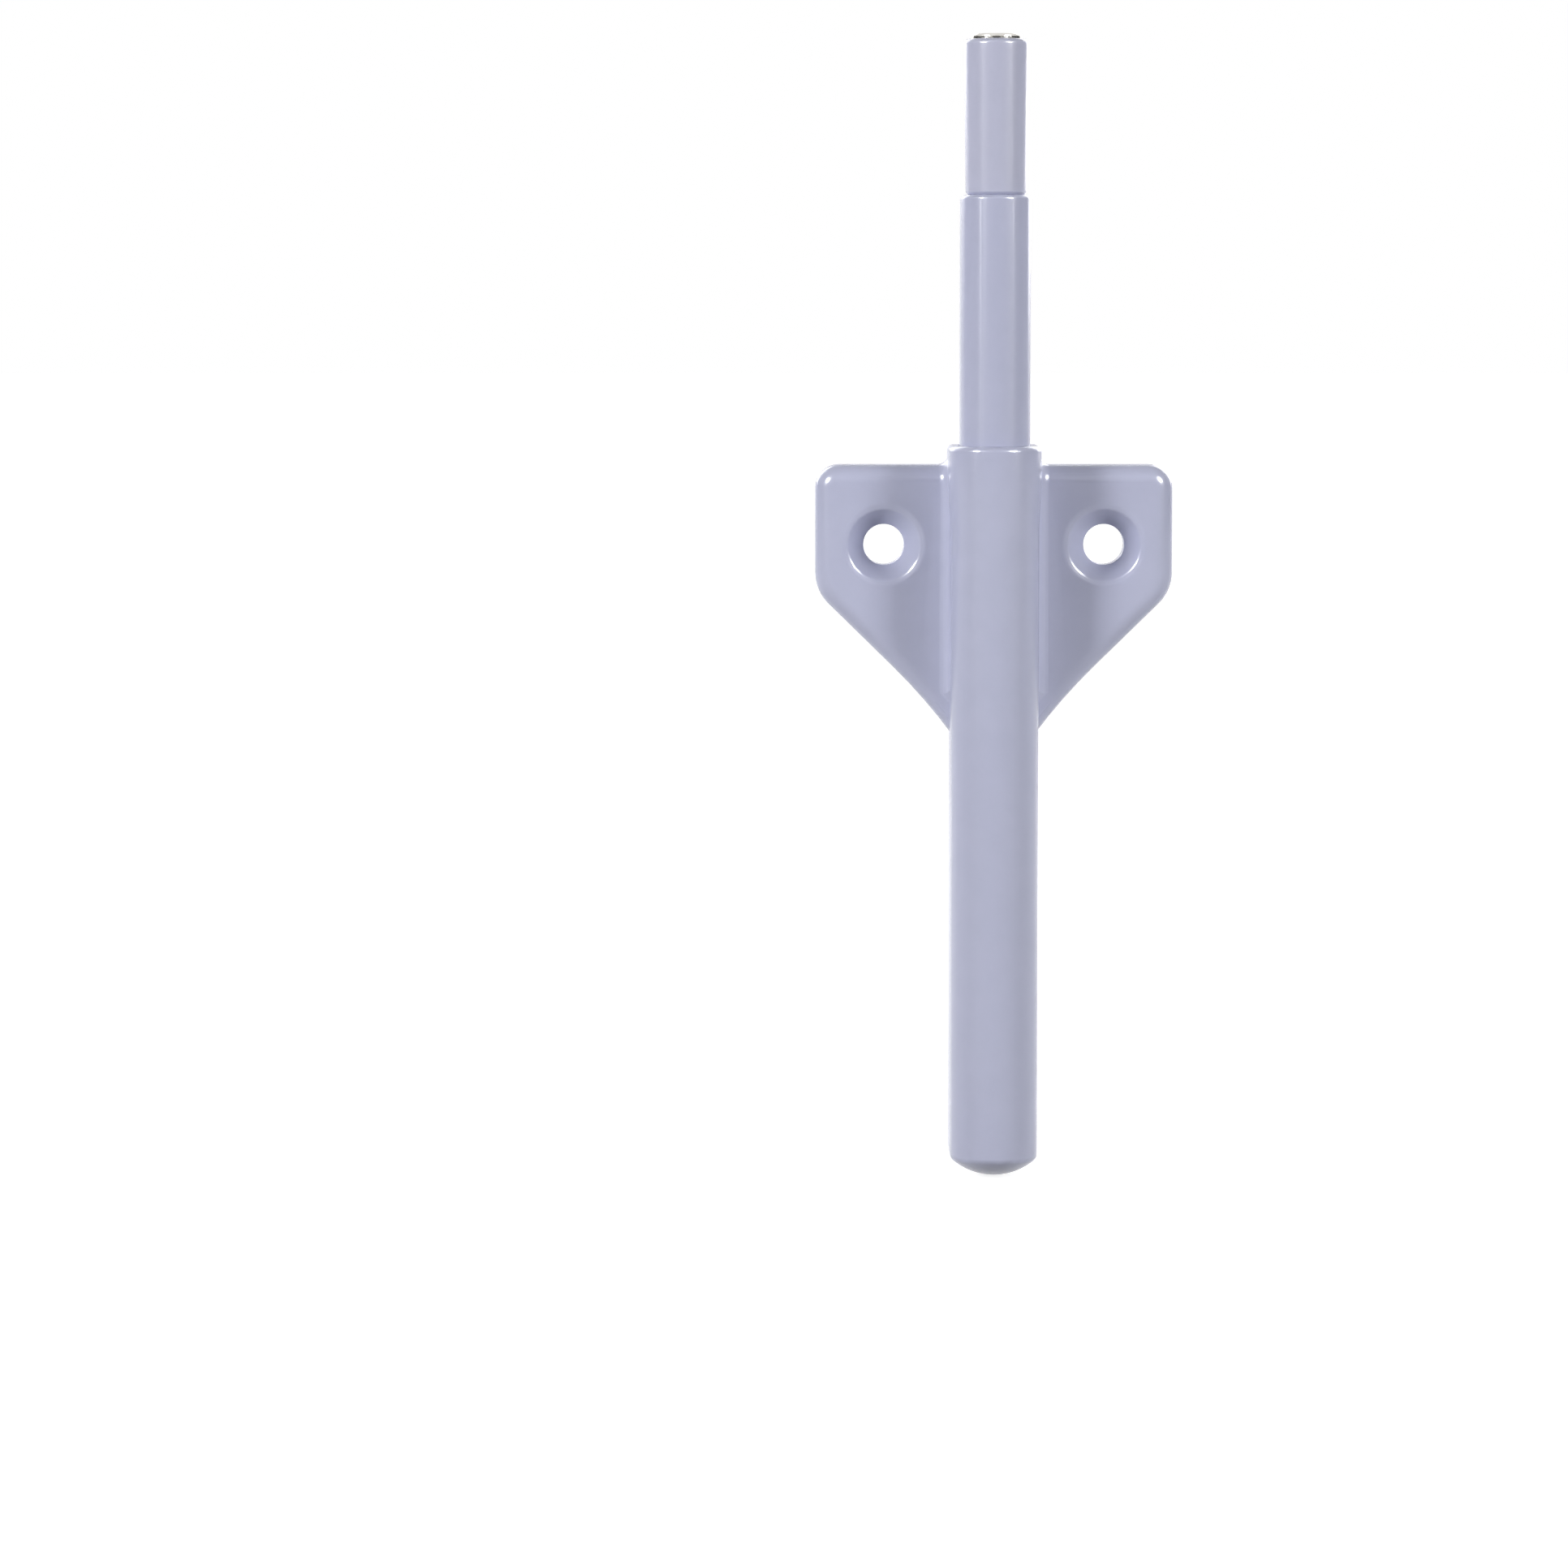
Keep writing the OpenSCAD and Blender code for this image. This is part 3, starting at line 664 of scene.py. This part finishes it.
# %% [markdown]
# ## Floor
#
# The damper stands on a plain white floor that fades into a white background. Paper under
# stronger lamps would get white too, but they would bleach the damper. So the floor is a matt
# surface that the lamps light, with a glow for the camera alone: it comes out white and yet
# keeps the object's soft shadow. The glow grows to full white far away, where the lamps don't
# reach. The surface itself is no brighter than grey, so it throws little light up at the damper,
# whose underside stays dark.

# %% What only the camera and gloss see
def combined(tree, operation, first, second):
    """A Math node over two sockets, such as MAXIMUM or MULTIPLY."""
    node = tree.nodes.new("ShaderNodeMath")
    node.operation = operation
    tree.links.new(first, node.inputs[0])
    tree.links.new(second, node.inputs[1])
    return node.outputs[0]


def seen_directly(tree):
    """1 for rays from the camera and for what shows in gloss or glass, 0 for other light."""
    path = tree.nodes.new("ShaderNodeLightPath")
    shiny = combined(tree, "MAXIMUM", path.outputs["Is Glossy Ray"],
                     path.outputs["Is Transmission Ray"])
    return combined(tree, "MAXIMUM", path.outputs["Is Camera Ray"], shiny)


# %% Floor
FLOOR_GREY = (0.36, 0.36, 0.36, 1)
FLOOR_HALF = 6.0
FLOOR_GAP = 0.2 * MM


def white_floor():
    """Matt grey with a glow of 0.86 under the object that grows to 1 at 0.7 m from it."""
    material, tree, surface = shader("white_floor")
    surface.inputs["Base Color"].default_value = FLOOR_GREY
    surface.inputs["Roughness"].default_value = 0.8
    surface.inputs["Specular IOR Level"].default_value = 0.1
    away = tree.nodes.new("ShaderNodeVectorMath")
    away.operation = "LENGTH"
    tree.links.new(object_vector(tree), away.inputs[0])
    glow = combined(tree, "MULTIPLY", spread(tree, away.outputs["Value"], 0.15, 0.7, 0.86, 1.0),
                    seen_directly(tree))
    tree.links.new(glow, surface.inputs["Emission Strength"])
    surface.inputs["Emission Color"].default_value = (1, 1, 1, 1)
    return material


floor_z = cad_low[2] - FLOOR_GAP
floor_mesh = bpy.data.meshes.new("floor")
floor_mesh.from_pydata([(-FLOOR_HALF, -FLOOR_HALF, floor_z), (FLOOR_HALF, -FLOOR_HALF, floor_z),
                        (FLOOR_HALF, FLOOR_HALF, floor_z), (-FLOOR_HALF, FLOOR_HALF, floor_z)],
                       [], [(0, 1, 2, 3)])
floor_mesh.materials.append(white_floor())
linked("floor", floor_mesh)
print("height of the floor in mm:", round(floor_z / MM, 2))

# %% [markdown]
# ## The room
#
# Behind the floor's edge the camera sees the world, which is white like the floor. If it also
# lit the object, it would fill the soft shadows beside the tube, so for matt light it is nearly
# dark. In gloss it is white behind and above the object and dark elsewhere: polished metal needs
# something dark to mirror, or it looks like white paint. An environment picture could do the
# same, but here the direction in which a ray leaves the scene is enough.

# %% The room
AMBIENT = 0.01


def room_strength(tree):
    """Full white for the camera, AMBIENT for diffuse light, and for gloss white towards the
    backdrop (+Y) and the ceiling (+Z) but dark towards the rest of the room."""
    path = tree.nodes.new("ShaderNodeLightPath")
    direction = tree.nodes.new("ShaderNodeSeparateXYZ")
    tree.links.new(tree.nodes.new("ShaderNodeTexCoord").outputs["Generated"],
                   direction.inputs[0])
    backdrop = spread(tree, direction.outputs["Y"], 0.45, 0.75, 0.0, 1.0)
    ceiling = spread(tree, direction.outputs["Z"], 0.12, 0.35, 0.0, 1.0)
    pale = combined(tree, "MULTIPLY", combined(tree, "MAXIMUM", backdrop, ceiling),
                    path.outputs["Is Glossy Ray"])
    open_view = combined(tree, "MAXIMUM", path.outputs["Is Camera Ray"],
                         path.outputs["Is Transmission Ray"])
    return spread(tree, combined(tree, "MAXIMUM", open_view, pale), 0.0, 1.0, AMBIENT, 1.0)


world = bpy.data.worlds.new("pale_room")
world.use_nodes = True
bpy.context.scene.world = world
room = world.node_tree
room.nodes["Background"].inputs["Color"].default_value = (1, 1, 1, 1)
room.links.new(room_strength(room), room.nodes["Background"].inputs["Strength"])
print("nodes in the room:", len(room.nodes))

# %% [markdown]
# ## Lamps
#
# A product like this is lit by soft lamps to the left and right of the camera. Each key lights
# one wing up to the shadow of the tube, which is why the wings grow darker beside it, and a low
# fill lifts that shadow a little. They could do the highlights as well, but from so close they
# draw broad streaks down the tube, so they show in matt light only. The bright dots on the wing
# corners, the mouth and the lips of the screw holes come from two higher lamps that show in
# gloss only. Two more stand behind, for the views from the back.

# %% Lamps
LAMP_DISTANCE = 0.5


def softbox(name, azimuth, height, size, power, shows):
    """Square lamp that looks at the middle of the damper. Azimuth 0 is the camera's side,
    counted towards the right; height is the angle above the horizon. It shows in matt light,
    in gloss or in both."""
    lamp = bpy.data.lights.new(name, "AREA")
    lamp.shape = "SQUARE"
    lamp.size = size
    lamp.energy = power
    piece = linked(name, lamp)
    a, h = math.radians(azimuth), math.radians(height)
    toward = np.array([math.sin(a) * math.cos(h), -math.cos(a) * math.cos(h), math.sin(h)])
    piece.location = LAMP_DISTANCE * toward
    piece.rotation_euler = (math.pi / 2 - h, 0, a)
    piece.visible_glossy = shows != "matt"
    piece.visible_diffuse = shows != "gloss"


softbox("left_key", -55, 18, 0.09, 1.62, "matt")
softbox("right_key", 55, 18, 0.09, 1.20, "matt")
softbox("left_fill", -52, 6, 0.10, 0.34, "matt")
softbox("right_fill", 55, 6, 0.10, 0.36, "matt")
softbox("left_glint", -48, 28, 0.11, 5.5, "gloss")
softbox("right_glint", 48, 28, 0.11, 6.0, "gloss")
softbox("back_left_softbox", -148, 24, 0.3, 1.2, "both")
softbox("back_right_softbox", 150, 22, 0.3, 1.2, "both")

# %% [markdown]
# ## Look
#
# Blender's usual view softens bright colours as film does. The plain Standard view shows them
# as they are, which suits a plain product picture.

# %% Finish
bpy.context.scene.view_settings.view_transform = "Standard"
